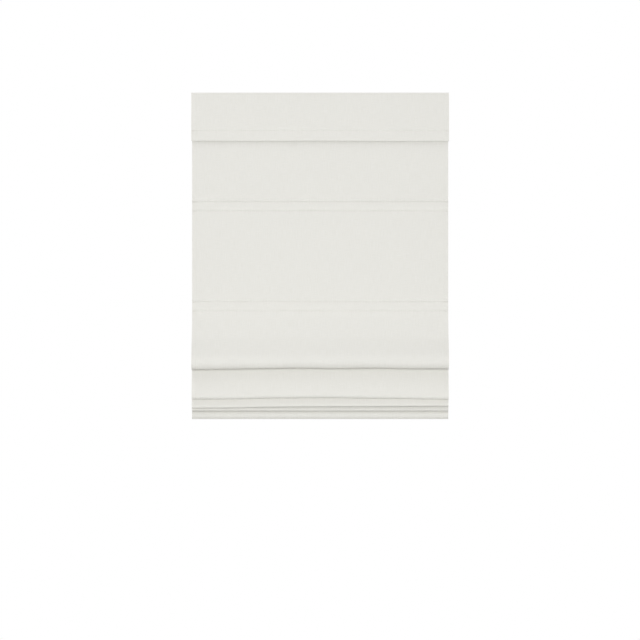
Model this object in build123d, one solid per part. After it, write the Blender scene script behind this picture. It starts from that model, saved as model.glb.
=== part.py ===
from build123d import *
from math import acos, cos, hypot, radians, sin
import os

# A cordless flat-fold roman blind for fixing inside a window opening, drawn partly raised.
# X runs across the window, -Y faces the room, +Z is up. The origin is the middle of the four
# screw holes, in the plane of the ceiling that the two mounting plates screw up against.

# Driving dimensions, in mm
CLOTH_WIDTH = 684
VALANCE_WIDTH = 688
VALANCE_DROP = 130
VALANCE_SWING = 4.6  # how far its foot stands forward of its sewn edge
HEM_BOTTOM = -872  # as drawn, with the stack partly raised
CLOTH = 0.8  # thickness of face cloth and lining together
POCKET_CLOTH = 0.6
ROD_LEVELS = (-304, -571, -675, -707, -719, -731)  # middle of each rod, from the top down
FOLD_LEVELS = (-732, -814, -838, -848)  # lowest line of each forward fold, from the top down
CORD_SIDE = 212  # each lift cord's distance from the blind's middle
CORD = 1.4  # diameter

RAIL_LENGTH = 680
RAIL_DEPTH = 50
RAIL_TOP = -4
RAIL_BOTTOM = -36
STEEL = 0.9  # the channel's wall
LIP = 7  # width of each turned-in lip
RAIL_CORNER = 1.2
CAP_PLATE = 1.8  # thickness of an end cap's outer plate
CAP_PLUG = 12  # how far its plug reaches into the channel
CAP_WALL = 1.5

# The cloth's middle plane lies just in front of the hook and loop strips
STRIP = 1.2
STRIP_TOP, STRIP_BOTTOM = -8, -28
Y_RAIL = -RAIL_DEPTH / 2
Y_CLOTH = Y_RAIL - 2 * STRIP - CLOTH / 2
CLOTH_TOP = -2

# Rods, rings and cords behind the cloth
ROD = 2.2  # radius
TIP = 2.7  # radius of a rod's tip
ROD_ROOM = 3.0  # from the rod's middle to the pocket's cloth
POCKET = 12.2  # from the rod's middle to each stitched line
Y_ROD = Y_CLOTH + CLOTH / 2 + ROD_ROOM
ROD_LENGTH = 668
TURN = 1.2  # half the distance between two layers where they meet at a rod
RING_OUT, RING_WIRE = 4.9, 0.9
Y_CORD = -15.8

# Lift shaft, spools and cradles inside the headrail
SPOOL_BARREL = 9.1
SHAFT_Y = Y_CORD + SPOOL_BARREL + CORD / 2
SHAFT_Z = -20.5
SHAFT_ACROSS = 6  # across the flats of the hexagon
SHAFT_LENGTH = 464
JOURNAL = 4.0
RUNNING = 0.08  # radial clearance of a shaft in its bearing
CRADLE_X = CORD_SIDE - 17
CRADLE_HALF = 24  # from the cradle's middle to the middle of each bearing wall
WALL = 2.4
FLOOR = RAIL_BOTTOM + STEEL
WOUND = 24  # length of the cord's winding on its spool
NOZZLE = 3.9  # radius of the cradle's cord nozzle, which stands through the channel's floor
NOZZLE_DROP = 1.5
SPOOL_FLANGE = 12

# Spring motor
MOTOR_HALF = 16
MOTOR_WALL = 1.4
STORE_Y = 13.2
SPRING_HALF = 12
OUTPUT_CORE, OUTPUT_WOUND = 6.5, 8.6
STORE_CORE, STORE_WOUND = 5.0, 8.4
FLANGE = 9.0
SPRING_STRIP = 0.3
AXLE = 2.0  # radius
BOSSES = ((3.75, -31.8), (3.75, -10.2))  # where the two screws hold the cover, in Y and Z
BOSS = 2.7
SCREW_SHANK = 1.2

# Mounting plates and their swivel levers
RIVET_X = 277
SCREW_X, SCREW_Y = 303, 12
PLATE = 1.5
PLATE_LENGTH, PLATE_DEPTH = 44, 46
SCREW_HOLE = 2.25  # radius
RIVET = 2.0  # shank radius
ARM_LENGTH, ARM_WIDTH = 42, 10
THUMB_Y, THUMB = 29.5, 6.5
CAM_WIDTH, CAM = 13, 3
POST = 7  # radius of the lever's post between the channel's lips
SLIDE = 0.3  # gap above and below the lips

# Bottom bar in the hem
BAR_HEIGHT, BAR_THICK, BAR_LENGTH = 19, 2.4, 664
BAR_ROOM = 0.3  # between the bar and the cloth on each side
BAR_BOTTOM = HEM_BOTTOM + CLOTH + 2 * BAR_ROOM
BAR_FRONT = Y_CLOTH + CLOTH / 2 + BAR_ROOM
BAR_CAP = 4
Y_HEM = Y_CLOTH + CLOTH + BAR_THICK + 2 * BAR_ROOM


def block(x0, x1, y0, y1, z0, z1):
    size = Box(x1 - x0, y1 - y0, z1 - z0)
    return Pos((x0 + x1) / 2, (y0 + y1) / 2, (z0 + z1) / 2) * size


def bar_along_x(radius, x0, x1, y, z):
    return Pos((x0 + x1) / 2, y, z) * Rot(0, 90, 0) * Cylinder(radius, x1 - x0)


def upright(radius, x, y, z0, z1):
    return Pos(x, y, (z0 + z1) / 2) * Cylinder(radius, z1 - z0)


def slab(sketch, x0, x1):
    """A side view in Y and Z, given its thickness along X."""
    return Pos(x0, 0, 0) * extrude(Plane.YZ * sketch, amount=x1 - x0)


def mirrored(shape):
    return mirror(shape, about=Plane.YZ)


def save(name, *shapes):
    """Writes one sub-part, a single solid or a group of like solids."""
    solids = [solid for shape in shapes for solid in shape.solids()]
    body = solids[0] if len(solids) == 1 else Compound(solids)
    body.label = name
    export_step(body, f"parts/{name}.step")


# Bent strips: cloth and sheet steel are drawn as a bent line and given a thickness


def heading(a, b):
    length = hypot(b[0] - a[0], b[1] - a[1])
    return (b[0] - a[0]) / length, (b[1] - a[1]) / length


def beside(corners, radii, distance):
    """The same bent line at a distance to its left: its corners and their radii."""
    runs = [heading(a, b) for a, b in zip(corners, corners[1:])]
    moved = [(corners[0][0] - distance * runs[0][1], corners[0][1] + distance * runs[0][0])]
    turned = []
    for corner, radius, u, v in zip(corners[1:-1], radii, runs, runs[1:]):
        share = distance / (1 + u[0] * v[0] + u[1] * v[1])
        moved.append((corner[0] - share * (u[1] + v[1]), corner[1] + share * (u[0] + v[0])))
        turns_left = u[0] * v[1] > u[1] * v[0]
        turned.append(radius - distance if turns_left else radius + distance)
    last = corners[-1]
    moved.append((last[0] - distance * runs[-1][1], last[1] + distance * runs[-1][0]))
    return moved, turned


def bent(corners, radii):
    return FilletPolyline(*corners, radius=radii) if radii else Line(*corners)


def strip(corners, radii, thickness):
    """The side view of a bent strip, from the corners of its middle line and their radii."""
    left, left_radii = beside(corners, radii, thickness / 2)
    right, right_radii = beside(corners, radii, -thickness / 2)
    sides = [bent(left, left_radii), bent(right, right_radii)]
    ends = [Line(left[0], right[0]), Line(left[-1], right[-1])]
    return make_face([edge for line in sides + ends for edge in line.edges()])


# Headrail: a roll-formed channel with turned-in lips, punched for the cord nozzles


def headrail():
    wall = Y_RAIL + STEEL / 2
    lip = Y_RAIL + LIP
    top, floor = RAIL_TOP - STEEL / 2, RAIL_BOTTOM + STEEL / 2
    corners = [(lip, top), (wall, top), (wall, floor), (-wall, floor), (-wall, top), (-lip, top)]
    rail = slab(strip(corners, [RAIL_CORNER] * 4, STEEL), -RAIL_LENGTH / 2, RAIL_LENGTH / 2)
    for side in (-1, 1):
        rail -= upright(NOZZLE + 0.2, side * CORD_SIDE, Y_CORD, RAIL_BOTTOM - 1, FLOOR + 1)
    return rail


def end_cap():
    """The right-hand cap: a rounded plate with a plug that fits inside the channel."""
    end = RAIL_LENGTH / 2
    middle = (RAIL_TOP + RAIL_BOTTOM) / 2
    outline = Pos(0, middle) * RectangleRounded(RAIL_DEPTH + 1, RAIL_TOP - RAIL_BOTTOM + 1, 1.6)
    plate = slab(outline, end, end + CAP_PLATE)
    plate = fillet(plate.faces().sort_by(Axis.X)[-1].edges(), 0.8)
    # the collar is a strip bent like the channel, and open at the top as it is
    to_middle = 0.15 + CAP_WALL / 2
    side = -Y_RAIL - STEEL - to_middle
    top, low = RAIL_TOP - STEEL - to_middle, FLOOR + to_middle
    lip_end = side - 8
    corners = [(-lip_end, top), (-side, top), (-side, low), (side, low), (side, top), (lip_end, top)]
    cap = plate + slab(strip(corners, [1.0] * 4, CAP_WALL), end - CAP_PLUG, end + 0.2)
    for y in (-12, 12):
        rib = Pos(y, (low + middle) / 2) * Rectangle(1.4, middle - low)
        cap += slab(rib, end - CAP_PLUG + 3, end + 0.2)
    return cap


# Mounting plate, swivel lever and rivet at the right-hand end


def mounting_plate():
    outline = RectangleRounded(PLATE_LENGTH, PLATE_DEPTH, 5)
    plate = Pos((RIVET_X + SCREW_X) / 2 - 1, 0, -PLATE) * extrude(outline, amount=PLATE)
    for y in (-SCREW_Y, SCREW_Y):
        plate -= upright(SCREW_HOLE, SCREW_X, y, -PLATE - 1, 1)
    plate -= upright(RIVET + 0.02, RIVET_X, 0, -PLATE - 1, 1)
    return chamfer(plate.faces().sort_by(Axis.Z)[0].outer_wire().edges(), 0.3)


def swivel_lever():
    """An arm over the channel, a post between its lips and a long cam under them."""
    arm_top, arm_under = -PLATE - SLIDE, RAIL_TOP + SLIDE
    cam_top = RAIL_TOP - STEEL - SLIDE
    reach = -Y_RAIL - LIP + 2.5
    crosswise = Pos(RIVET_X, 0) * Rot(0, 0, 90)
    arm = crosswise * Pos(13, 0) * SlotOverall(ARM_LENGTH, ARM_WIDTH)
    thumb = Pos(RIVET_X, THUMB_Y) * Circle(THUMB)
    lever = Pos(0, 0, arm_under) * extrude(arm + thumb, amount=arm_top - arm_under)
    for groove in (THUMB_Y - 3, THUMB_Y, THUMB_Y + 3):
        lever -= block(RIVET_X - 4, RIVET_X + 4, groove - 0.6, groove + 0.6, arm_top - 0.5, arm_top + 1)
    lever += upright(POST, RIVET_X, 0, cam_top - 0.1, arm_under)
    cam = crosswise * SlotOverall(2 * reach, CAM_WIDTH)
    cam = Pos(0, 0, cam_top - CAM) * extrude(cam, amount=CAM)
    cam = chamfer(cam.faces().sort_by(Axis.Z)[-1].outer_wire().edges(), 0.8)
    return lever + cam - upright(RIVET + RUNNING, RIVET_X, 0, cam_top - CAM - 1, 0)


def rivet():
    under = RAIL_TOP - STEEL - SLIDE - CAM - 0.1
    head = Cone(4, 2.8, 1.3, align=(Align.CENTER, Align.CENTER, Align.MIN))
    head = Pos(RIVET_X, 0, under) * Rot(180, 0, 0) * head
    return head + upright(RIVET, RIVET_X, 0, under - 0.1, -0.05)


# Lift shaft, spools and cradles


def hexagon(across):
    return RegularPolygon(across / 2, 6, major_radius=False)


def hex_bar(across, x0, x1):
    return slab(Pos(SHAFT_Y, SHAFT_Z) * hexagon(across), x0, x1)


def shaft_end(x0, x1):
    """A moulded cap pushed on the shaft's end, so that it can't slide out."""
    cap = bar_along_x(5, x0, x1, SHAFT_Y, SHAFT_Z)
    cap = fillet(cap.edges().sort_by(Axis.X)[-1], 1.2)
    return cap - hex_bar(SHAFT_ACROSS + 0.04, x0 - 1, x1 - 2)


def lift_spool():
    """Turned profile: flange, cone that pushes the winding along, barrel, flange and journals."""
    half, reach = CRADLE_HALF - WALL / 2 - 0.3, CRADLE_HALF + WALL / 2 + 0.8
    rim = SPOOL_FLANGE - 0.5
    profile = Polyline(
        (-reach, 0), (-reach, JOURNAL), (-half, JOURNAL), (-half, rim), (1.2 - half, rim),
        (2.2 - half, SPOOL_BARREL), (half - 4.7, SPOOL_BARREL), (half - 1.2, SPOOL_FLANGE),
        (half, SPOOL_FLANGE), (half, JOURNAL), (reach, JOURNAL), (reach, 0), close=True)
    spool = revolve(make_face(profile), axis=Axis.X)
    # both ends are cored out, so that the moulding keeps an even wall
    core_depth, core_in, core_out = 13, JOURNAL + 1.4, SPOOL_BARREL - 1.1
    core = Rectangle(core_depth + 2, core_out - core_in)
    core = revolve(Pos(half - core_depth / 2 + 1, (core_in + core_out) / 2) * core, axis=Axis.X)
    spool = spool - core - mirrored(core)
    return Pos(CRADLE_X, SHAFT_Y, SHAFT_Z) * spool - hex_bar(SHAFT_ACROSS + 0.1, 0, 300)


def cradle():
    """Moulded base with two snap-in bearing walls and the nozzle that the cord leaves by."""
    inside = -Y_RAIL - STEEL - 0.1
    half_length = CRADLE_HALF + 3
    base_top = FLOOR + 1.8
    body = block(CRADLE_X - half_length, CRADLE_X + half_length, -inside, inside, FLOOR, base_top)
    body = fillet(body.edges().filter_by(Axis.Z), 2)
    body = chamfer(body.faces().sort_by(Axis.Z)[0].edges().filter_by(Axis.X), 0.9)
    wall_top = SHAFT_Z + 6.5
    wall = Pos(SHAFT_Y, (base_top + wall_top) / 2 - 0.1) * Rectangle(17, wall_top - base_top + 0.2)
    wall -= Pos(SHAFT_Y, SHAFT_Z) * Circle(JOURNAL + RUNNING)
    # the throat is narrower than the journal, which snaps past it
    wall -= Pos(SHAFT_Y, SHAFT_Z + 8) * Rectangle(2 * JOURNAL - 1.2, 16)
    brace = Pos(SHAFT_Y + 13, base_top + 2.9) * Rectangle(10, 6)
    for x in (CRADLE_X - CRADLE_HALF, CRADLE_X + CRADLE_HALF):
        bearing = slab(wall, x - WALL / 2, x + WALL / 2)
        body += fillet(bearing.edges().filter_by(Axis.X).sort_by(Axis.Z)[-4:], 1.0)
        body += slab(brace, x - 0.7, x + 0.7)
    mouth = upright(NOZZLE, CORD_SIDE, Y_CORD, RAIL_BOTTOM - NOZZLE_DROP, base_top)
    body += fillet(mouth.edges().sort_by(Axis.Z)[0], 0.6)
    bore = upright(1.8, CORD_SIDE, Y_CORD, RAIL_BOTTOM - 3, base_top + 1)
    flare = Cone(3.0, 1.6, 1.4, align=(Align.CENTER, Align.CENTER, Align.MIN))
    for z, turn in ((base_top, 180), (RAIL_BOTTOM - NOZZLE_DROP, 0)):
        bore += Pos(CORD_SIDE, Y_CORD, z) * Rot(turn, 0, 0) * flare
    return body - bore


def lift_cord():
    """Wound on its spool, off the front of the barrel, and straight down to its stop."""
    start = CORD_SIDE + CORD / 2
    outer = bar_along_x(SPOOL_BARREL + CORD, start - WOUND, start, SHAFT_Y, SHAFT_Z)
    inner = bar_along_x(SPOOL_BARREL + 0.05, start - WOUND - 1, start + 1, SHAFT_Y, SHAFT_Z)
    return outer - inner + upright(CORD / 2, CORD_SIDE, Y_CORD, ROD_LEVELS[-1] - 13, SHAFT_Z)


# Spring motor: a flat spring that winds from its storage spool to the output spool


def motor_outline(inset):
    low, high = FLOOR + inset, -7.5 - inset
    front, back = -19 + inset, 23.9 - inset
    rounded = RectangleRounded(back - front, high - low, 4 - inset)
    return Pos((front + back) / 2, (low + high) / 2) * rounded


def motor_holes(face):
    face -= Pos(SHAFT_Y, SHAFT_Z) * Circle(JOURNAL + RUNNING)
    return face - Pos(STORE_Y, SHAFT_Z) * Circle(AXLE + 0.02)


def motor_housing():
    shell = slab(motor_holes(motor_outline(0)), -MOTOR_HALF, MOTOR_HALF - MOTOR_WALL)
    shell -= slab(motor_outline(MOTOR_WALL), MOTOR_WALL - MOTOR_HALF, MOTOR_HALF)
    for y, z in BOSSES:
        boss = bar_along_x(BOSS, 0.1 - MOTOR_HALF, MOTOR_HALF - MOTOR_WALL, y, z)
        shell += boss - bar_along_x(SCREW_SHANK + 0.05, 2, MOTOR_HALF, y, z)
    return shell


def motor_cover():
    face = motor_holes(motor_outline(0))
    for y, z in BOSSES:
        face -= Pos(y, z) * Circle(SCREW_SHANK + 0.2)
    cover = slab(face, MOTOR_HALF - MOTOR_WALL, MOTOR_HALF)
    return chamfer(cover.faces().sort_by(Axis.X)[-1].outer_wire().edges(), 0.5)


def motor_screw(y, z):
    """A round-headed screw with a cross recess."""
    shank = bar_along_x(SCREW_SHANK, 6, MOTOR_HALF + 0.1, y, z)
    head = bar_along_x(2.4, MOTOR_HALF, MOTOR_HALF + 1.4, y, z)
    head = fillet(head.edges().sort_by(Axis.X)[-1], 0.7)
    level_cut = block(MOTOR_HALF + 0.7, MOTOR_HALF + 2, y - 1.5, y + 1.5, z - 0.25, z + 0.25)
    upright_cut = block(MOTOR_HALF + 0.7, MOTOR_HALF + 2, y - 0.25, y + 0.25, z - 1.5, z + 1.5)
    return shank + head - level_cut - upright_cut


def spring_spool(y, core, end_radius):
    """A core between two flanges, and a journal or boss at each end."""
    half = MOTOR_HALF - MOTOR_WALL - 0.4
    spool = bar_along_x(core, -half, half, y, SHAFT_Z)
    for side in (-1, 1):
        x0, x1 = sorted((side * (half - 1.4), side * half))
        spool += bar_along_x(FLANGE, x0, x1, y, SHAFT_Z)
        if end_radius:
            x0, x1 = sorted((side * half, side * (MOTOR_HALF + 1)))
            spool += bar_along_x(end_radius, x0, x1, y, SHAFT_Z)
    return spool


def power_spring():
    """Turns on both spools, and the strip that crosses from one to the other between them."""
    rings = Sketch()
    for y, core, wound in ((SHAFT_Y, OUTPUT_CORE, OUTPUT_WOUND), (STORE_Y, STORE_CORE, STORE_WOUND)):
        rings += Pos(y, SHAFT_Z) * (Circle(wound) - Circle(core + 0.06))
    apart = STORE_Y - SHAFT_Y
    out, store = OUTPUT_WOUND - SPRING_STRIP / 2, STORE_WOUND - SPRING_STRIP / 2
    turn = acos((out + store) / apart)
    leave = (SHAFT_Y + out * cos(turn), SHAFT_Z + out * sin(turn))
    arrive = (STORE_Y - store * cos(turn), SHAFT_Z - store * sin(turn))
    return slab(rings + strip([leave, arrive], [], SPRING_STRIP), -SPRING_HALF, SPRING_HALF)


# Cloth: corners of the side view are given as a distance forward of the flat cloth and a level


def forward(*places):
    return [(Y_CLOTH - f, z) for f, z in places]


def hairpin(level, slope):
    """Where two layers meet in front of a rod and fall forward at a slope, given in degrees."""
    lean = radians(slope)
    return [(2 * TURN * sin(lean), level + TURN * cos(lean), 0.9), (0, level - TURN * cos(lean), 0.9)]


def stack_corners():
    """The shade's side view from its top edge to its hem, with each corner's radius."""
    s3, s4, s5, s6 = ROD_LEVELS[2:]
    fold_a, fold_b, fold_c, fold_d = FOLD_LEVELS
    half = CLOTH / 2
    bottom = HEM_BOTTOM + half
    back = Y_CLOTH - Y_HEM
    places = [
        # the flat cloth, then the front of the first fold, which swings out to the room
        (0, CLOTH_TOP, None), (0, -602, 90), (25, -658, 110), (64, fold_a + half, 11.2),
        (38, fold_a + half, 11.2), (19, s3 - 20, 9), *hairpin(s3, 50),
        # second fold, hanging from the third rod
        (12.8, s4 + 3, 18), (29.6, fold_b + half, 4.6), (19.4, fold_b + half, 4.6), (10.6, s4 - 6.6, 4),
        *hairpin(s4, 42),
        # third fold
        (8.6, s4 - 8.8, 5), (18, fold_c + half, 3.4), (10.6, fold_c + half, 3.4), (6.6, s5 - 4, 3),
        *hairpin(s5, 48),
        # fourth fold
        (4.5, s5 - 6.5, 3), (9.4, fold_d + half, 3), (2.8, fold_d + half, 3), (2.2, s6 + TURN, 0.9),
        # the skirt, turned up round the bottom bar
        (0, s6 + TURN, 0.9), (0, bottom, 1.6), (back, bottom, 1.6), (back, bottom + 22, None),
    ]
    radii = [radius for f, z, radius in places[1:-1]]
    return forward(*[(f, z) for f, z, radius in places]), radii


def flat_pocket(level):
    """A strip sewn behind the flat cloth above and below a rod."""
    lay = -(CLOTH + POCKET_CLOTH) / 2 + 0.05
    out = Y_CLOTH - Y_ROD - ROD_ROOM - POCKET_CLOTH / 2
    corners = forward((lay, level + POCKET + 1.6), (lay, level + POCKET - 1), (out, level + 3.6),
                      (out, level - 3.6), (lay, level - POCKET + 1), (lay, level - POCKET - 1.6))
    return strip(corners, [1.5, 3, 3, 1.5], POCKET_CLOTH)


def hem_edge():
    """The turned-up cloth above the bottom bar, closing on the skirt that it is sewn to."""
    back, low = Y_CLOTH - Y_HEM, HEM_BOTTOM + CLOTH / 2
    lay = 0.05 - CLOTH
    corners = forward((back, low + 20), (back, low + 23), (lay, low + 30), (lay, low + 34))
    return strip(corners, [2, 3], CLOTH)


def folded_pocket(above, below, level):
    """The same strip in the stack: from the fold's upper layer, round the rod, to its lower one."""
    out = Y_CLOTH - Y_ROD - ROD_ROOM - POCKET_CLOTH / 2
    high = level + ROD_ROOM + POCKET_CLOTH / 2
    low = level - ROD_ROOM - POCKET_CLOTH / 2
    corners = forward(above, (above[0] - 3, high), (out, high), (out, low), (below, low))
    return strip(corners, [1.2, 3, 3], POCKET_CLOTH)


def shade_cloth():
    side_view = strip(*stack_corners(), CLOTH) + hem_edge()
    for level in ROD_LEVELS[:2]:
        side_view += flat_pocket(level)
    s3, s4, s5, s6 = ROD_LEVELS[2:]
    side_view += folded_pocket((5, s3 - 3.2), 1.8, s3)
    side_view += folded_pocket((4.4, s4 - 1.3), 2.8, s4)
    side_view += folded_pocket((4.2, s5 - 1.3), 2.4, s5)
    side_view += folded_pocket((2.7, s6 - 2), 0, s6)
    return slab(side_view, -CLOTH_WIDTH / 2, CLOTH_WIDTH / 2)


def valance_cloth():
    """Sewn to the front of the shade's top edge, falling a little clear of it to a turned-up hem."""
    sewn = Y_CLOTH - CLOTH
    swung = sewn - VALANCE_SWING
    swing_from = -20
    foot = -VALANCE_DROP + CLOTH / 2
    hem = 26
    slope = VALANCE_SWING / (swing_from - foot)
    inner = swung + CLOTH + 0.1
    corners = [(sewn, CLOTH_TOP), (sewn, swing_from), (swung, foot), (inner, foot),
               (inner + hem * slope, foot + hem)]
    side_view = strip(corners, [60, 0.44, 0.44], CLOTH)
    # the hem's two layers are joined where they are sewn
    seam = foot + hem - 5
    side_view += Pos((swung + inner) / 2 + (seam - foot) * slope, seam) * Rectangle(1, 10)
    return slab(side_view, -VALANCE_WIDTH / 2, VALANCE_WIDTH / 2)


# Rods, tips, rings, cord stops and bottom bar


def rod(level):
    return bar_along_x(ROD, -ROD_LENGTH / 2, ROD_LENGTH / 2, Y_ROD, level)


def rod_tip(level):
    end = ROD_LENGTH / 2
    tip = bar_along_x(TIP, end - 10, end + 1.6, Y_ROD, level)
    tip = fillet(tip.edges().sort_by(Axis.X)[-1], 1.3)
    return tip - bar_along_x(ROD + 0.02, end - 11, end, Y_ROD, level)


def ring(level):
    return Pos(CORD_SIDE, Y_CORD, level) * Torus(RING_OUT - RING_WIRE, RING_WIRE)


def cord_stop():
    """A turned bead under the lowest ring, too wide to pass through it."""
    top = ROD_LEVELS[-1] - RING_WIRE - 0.1
    profile = make_face(
        Line((0.85, 0), (0.85, -12)) + Line((0.85, -12), (2.2, -12))
        + ThreePointArc((2.2, -12), (4.3, -7), (3.4, 0)) + Line((3.4, 0), (0.85, 0)))
    return Pos(CORD_SIDE, Y_CORD, top) * revolve(Plane.XZ * profile, axis=Axis.Z)


def bar_section():
    middle = Pos(BAR_FRONT + BAR_THICK / 2, BAR_BOTTOM + BAR_HEIGHT / 2)
    return middle * RectangleRounded(BAR_THICK, BAR_HEIGHT, 1.0)


def bottom_bar():
    return slab(bar_section(), -BAR_LENGTH / 2, BAR_LENGTH / 2)


def bar_cap():
    """A moulded cap that covers the bar's cut end and slides freely in the hem."""
    cap = slab(bar_section(), BAR_LENGTH / 2, BAR_LENGTH / 2 + BAR_CAP)
    return fillet(cap.faces().sort_by(Axis.X)[-1].edges(), 0.9)


def tape(front):
    """The hook strip or the loop strip, whose front face is at a place in Y."""
    half = RAIL_LENGTH / 2 - 2
    return block(-half, half, front, front + STRIP, STRIP_BOTTOM, STRIP_TOP)


def save_pair(name, shape):
    save(f"{name}_right", shape)
    save(f"{name}_left", mirrored(shape))


def main():
    os.makedirs("parts", exist_ok=True)
    save("headrail", headrail())
    save_pair("end_cap", end_cap())
    save_pair("mounting_plate", mounting_plate())
    save_pair("swivel_lever", swivel_lever())
    save("lever_rivets", rivet(), mirrored(rivet()))
    save("hook_strip", tape(Y_RAIL - STRIP))
    save("loop_strip", tape(Y_RAIL - 2 * STRIP))

    save("lift_shaft", hex_bar(SHAFT_ACROSS, -SHAFT_LENGTH / 2, SHAFT_LENGTH / 2))
    cap = shaft_end(SHAFT_LENGTH / 2 - 8, SHAFT_LENGTH / 2 + 2)
    save("shaft_end_caps", cap, mirrored(cap))
    save_pair("lift_spool", lift_spool())
    save_pair("spool_cradle", cradle())
    save_pair("lift_cord", lift_cord())

    save("motor_housing", motor_housing())
    save("motor_cover", motor_cover())
    save("motor_screws", *[motor_screw(y, z) for y, z in BOSSES])
    save("output_spool", spring_spool(SHAFT_Y, OUTPUT_CORE, JOURNAL) - hex_bar(SHAFT_ACROSS + 0.1, -50, 50))
    bore = bar_along_x(AXLE + RUNNING, -50, 50, STORE_Y, SHAFT_Z)
    save("storage_spool", spring_spool(STORE_Y, STORE_CORE, None) - bore)
    save("storage_axle", bar_along_x(AXLE, 0.2 - MOTOR_HALF, MOTOR_HALF - 0.2, STORE_Y, SHAFT_Z))
    save("power_spring", power_spring())

    save("shade_cloth", shade_cloth())
    save("valance_cloth", valance_cloth())
    for number, level in enumerate(ROD_LEVELS, 1):
        save(f"rod_{number}", rod(level))
        save(f"rod_tips_{number}", rod_tip(level), mirrored(rod_tip(level)))
        save(f"rings_{number}", ring(level), mirrored(ring(level)))
    save("cord_stops", cord_stop(), mirrored(cord_stop()))
    save("bottom_bar", bottom_bar())
    save("bottom_bar_caps", bar_cap(), mirrored(bar_cap()))


main()
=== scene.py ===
from math import ceil, cos, pi, radians, sin, tan

import bpy
import numpy as np
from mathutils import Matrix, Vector


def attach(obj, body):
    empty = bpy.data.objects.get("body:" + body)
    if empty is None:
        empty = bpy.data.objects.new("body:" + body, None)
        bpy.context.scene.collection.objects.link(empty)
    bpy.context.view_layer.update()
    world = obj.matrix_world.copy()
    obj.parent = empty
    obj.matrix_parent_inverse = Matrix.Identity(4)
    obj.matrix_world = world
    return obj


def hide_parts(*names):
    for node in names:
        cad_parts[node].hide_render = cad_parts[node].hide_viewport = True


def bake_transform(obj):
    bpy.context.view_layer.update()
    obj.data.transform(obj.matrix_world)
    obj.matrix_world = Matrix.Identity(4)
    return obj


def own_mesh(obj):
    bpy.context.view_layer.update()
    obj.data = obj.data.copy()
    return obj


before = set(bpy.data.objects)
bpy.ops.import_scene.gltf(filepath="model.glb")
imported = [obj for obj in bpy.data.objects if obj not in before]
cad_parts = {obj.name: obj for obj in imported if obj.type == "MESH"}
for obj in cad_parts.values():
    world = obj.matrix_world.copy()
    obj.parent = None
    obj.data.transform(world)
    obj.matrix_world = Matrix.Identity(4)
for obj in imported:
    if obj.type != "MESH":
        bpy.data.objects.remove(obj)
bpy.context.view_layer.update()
MM = 0.001


# Mounting plates and rivets
# Two plates pressed from 1.5 mm mild steel, each screwed to the ceiling of the window opening. They are
# bright zinc plated: a cool grey with the fine grain of rolled sheet and a faint drift in its gloss.


def colour(hex_code):
    """An sRGB hex value as the linear colour that a shader takes."""
    parts = [int(hex_code[i:i + 2], 16) / 255 for i in (1, 3, 5)]
    return [c / 12.92 if c <= 0.04045 else ((c + 0.055) / 1.055) ** 2.4 for c in parts] + [1.0]


def add_node(tree, kind, inputs=None, **settings):
    """Adds a node with its settings, and sets or links its inputs by their names or numbers."""
    made = tree.nodes.new(kind)
    for name, value in settings.items():
        setattr(made, name, value)
    for name, value in (inputs or {}).items():
        if isinstance(value, bpy.types.NodeSocket):
            tree.links.new(value, made.inputs[name])
        else:
            made.inputs[name].default_value = value
    return made


def new_material(name, **shader):
    """A material and its shader, whose sockets are set by names such as base_color."""
    material = bpy.data.materials.new(name)
    material.use_nodes = True
    surface = material.node_tree.nodes["Principled BSDF"]
    for socket, value in shader.items():
        surface.inputs[socket.replace("_", " ").title().replace("Ior", "IOR")].default_value = value
    return material, material.node_tree, surface


def grain(tree, stretch, size, detail=3.0):
    """Noise in object space, its marks about size metres across and stretched along X, Y and Z."""
    place = add_node(tree, "ShaderNodeTexCoord")
    scales = [1 / (s * size) for s in stretch]
    scaled = add_node(tree, "ShaderNodeMapping", {"Vector": place.outputs["Object"], "Scale": scales})
    return add_node(tree, "ShaderNodeTexNoise",
                    {"Vector": scaled.outputs[0], "Scale": 1.0, "Detail": detail})


def wear(tree, surface, source, low, high, bump, depth):
    """The pattern varies the roughness from low to high, and raises the surface by depth metres at a
    strength from 0 to 1."""
    rough = add_node(tree, "ShaderNodeMapRange",
                     {"Value": source, "From Min": 0.3, "From Max": 0.7, "To Min": low, "To Max": high})
    tree.links.new(rough.outputs[0], surface.inputs["Roughness"])
    raised = add_node(tree, "ShaderNodeBump", {"Height": source, "Strength": bump, "Distance": depth})
    tree.links.new(raised.outputs[0], surface.inputs["Normal"])


def dress(material, slot, *names):
    """Gives CAD nodes their material."""
    for name in names:
        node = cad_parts[name]
        node.data.materials.clear()
        node.data.materials.append(material)


def sides(name):
    """The names of a pair of CAD nodes."""
    return [name + "_right", name + "_left"]


zinc_plate, tree, surface = new_material("zinc_plated_steel", base_color=colour("#B4B7BB"), metallic=1.0)
rolled = grain(tree, (14, 1, 1), 0.4 * MM)
wear(tree, surface, rolled.outputs[0], 0.3, 0.42, 0.25, 0.02 * MM)
dress(zinc_plate, "zinc_plated_steel", *sides("mounting_plate"), "lever_rivets")


# Swivel levers
# One acetal moulding each: a thumb tab and arm over the rail, and a cam that turns under its two lips.
# Natural acetal is a milky white that light enters a little, satin from the mould and waxy to the touch.

acetal, tree, surface = new_material("acetal_moulding", base_color=colour("#E6E5DE"), ior=1.48,
                                     subsurface_weight=0.12, subsurface_scale=1.5 * MM)
flow = grain(tree, (1, 1, 1), 1.2 * MM)
wear(tree, surface, flow.outputs[0], 0.34, 0.46, 0.12, 0.03 * MM)
dress(acetal, "acetal_moulding", *sides("swivel_lever"))


# Headrail and its end caps
# The rail is roll-formed from 0.9 mm steel coated with white enamel, smooth with a slight orange peel.
# Its two caps are pushed in: white ABS with the fine even grain of a spark-eroded mould.

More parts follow.
